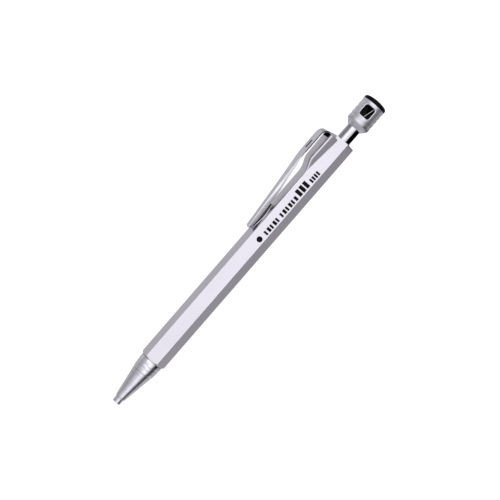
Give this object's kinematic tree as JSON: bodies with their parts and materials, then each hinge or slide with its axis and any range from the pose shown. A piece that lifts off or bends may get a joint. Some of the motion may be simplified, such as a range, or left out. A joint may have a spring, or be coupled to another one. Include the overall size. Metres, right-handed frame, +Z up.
{
  "type": "mechanical pencil",
  "caption": "Mechanical pencil for 2 mm lead with a hexagonal metal barrel, conical nose, sprung pocket clip and a push button that holds a lead sharpener.",
  "frame": {"origin": "middle of the barrel's bottom flat, which is the face the pencil lies on", "axes": "+X along the pencil from the tip to the button, +Z up out of the flat that carries the print and the sharpener window, and the clip on the flat turned 60 degrees from the top towards +Y"},
  "size_m": [0.144, 0.0146, 0.0114],
  "materials": {
    "satin_aluminium": "satin",
    "turned_steel": "fine turned",
    "bright_chrome": "polished",
    "satin_silver": "satin",
    "brass": "turned",
    "spring_steel": "bright",
    "black_plastic": "gloss",
    "grey_plastic": "matte",
    "black_rubber": "matte",
    "graphite": "semi-matte"
  },
  "bodies": {
    "barrel": {"hex_barrel": "satin_aluminium", "nose_cone": "turned_steel", "tip_sleeve": "bright_chrome", "lead_retainer": "black_rubber", "clutch_sleeve": "grey_plastic", "return_spring": "spring_steel", "rear_bush": "grey_plastic", "clip_base": "satin_aluminium", "clip_rivet_front": "spring_steel", "clip_rivet_rear": "spring_steel"},
    "clip": {"clip_lever": "bright_chrome"},
    "plunger": {"button_stem": "bright_chrome", "lead_tube": "grey_plastic", "chuck_connector": "brass", "chuck_base": "brass"},
    "knob": {"knob_shell": "satin_silver", "knob_bush": "black_plastic", "sharpener_body": "black_plastic", "sharpener_blade": "spring_steel"},
    "jaw_1": {"chuck_jaw_1": "brass"},
    "jaw_2": {"chuck_jaw_2": "brass"},
    "jaw_3": {"chuck_jaw_3": "brass"},
    "ring": {"clutch_ring": "brass"},
    "lead": {"lead": "graphite"}
  },
  "joints": [
    {"name": "button_press", "type": "slide", "parent": "barrel", "child": "plunger", "axis": [-1, 0, 0], "range_m": [0, 0.004], "stiffness_N_per_m": 800, "springref_m": -0.004, "deforming": ["return_spring"]},
    {"name": "knob_pull_off", "type": "slide", "parent": "plunger", "child": "knob", "axis": [1, 0, 0], "range_m": [0, 0.01]},
    {"name": "clip_flex", "type": "hinge", "parent": "barrel", "child": "clip", "pos_m": [0.05142, 0.00511, 0.00739], "axis": [0, 0.5, -0.866], "range_deg": [0, 4.5], "stiffness_Nm_per_rad": 2, "springref_deg": -2.86},
    {"name": "lead_feed", "type": "slide", "parent": "barrel", "child": "lead", "axis": [-1, 0, 0], "range_m": [0, 0.01]},
    {"name": "clutch_ring_slide", "type": "slide", "parent": "barrel", "child": "ring", "axis": [-1, 0, 0], "range_m": [0, 0.0008]},
    {"name": "jaw_1_open", "type": "hinge", "parent": "plunger", "child": "jaw_1", "pos_m": [-0.05038, 0, 0.00584], "axis": [0, 1, 0], "range_deg": [0, 1.8]},
    {"name": "jaw_2_open", "type": "hinge", "parent": "plunger", "child": "jaw_2", "pos_m": [-0.05038, -0.00121, 0.00374], "axis": [0, -0.5, 0.866], "range_deg": [0, 1.8]},
    {"name": "jaw_3_open", "type": "hinge", "parent": "plunger", "child": "jaw_3", "pos_m": [-0.05038, 0.00121, 0.00374], "axis": [0, -0.5, -0.866], "range_deg": [0, 1.8]}
  ],
  "couplings": [
    {"joint": "clutch_ring_slide", "follows": "button_press", "ratio": 0.2},
    {"joint": "jaw_1_open", "follows": "button_press", "rad_per_m": 7.5},
    {"joint": "jaw_2_open", "follows": "button_press", "rad_per_m": 7.5},
    {"joint": "jaw_3_open", "follows": "button_press", "rad_per_m": 7.5}
  ]
}
